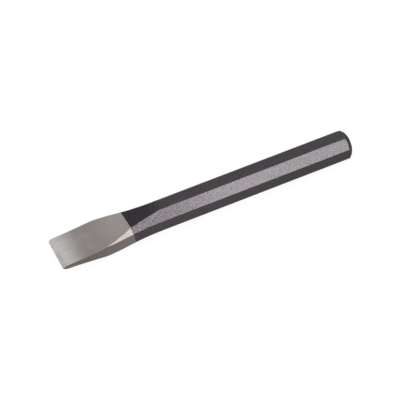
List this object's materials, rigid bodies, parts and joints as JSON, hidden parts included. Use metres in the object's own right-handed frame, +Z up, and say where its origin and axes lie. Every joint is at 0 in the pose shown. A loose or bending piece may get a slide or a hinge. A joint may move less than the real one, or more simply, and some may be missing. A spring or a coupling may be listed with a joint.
{
  "type": "cold chisel",
  "caption": "Flat cold chisel: octagonal bar drawn out to a flared, ground wedge blade, with a lacquered shank and a coned striking end.",
  "frame": {"origin": "halfway along the chisel, on the underside facet that it lies on", "axes": "+X along the bar towards the struck end, -X towards the cutting edge, +Y along the cutting edge, +Z up, square to the blade's broad face"},
  "size_m": [0.205, 0.026, 0.019],
  "materials": {
    "ground_steel": "ground bright with fine grinding lines, under clear lacquer",
    "shank_lacquer": "gunmetal lacquer over forge scale, satin with a fine grain"
  },
  "bodies": {
    "root": {"forged_body": "ground_steel", "shank_coating": "shank_lacquer"}
  },
  "joints": []
}
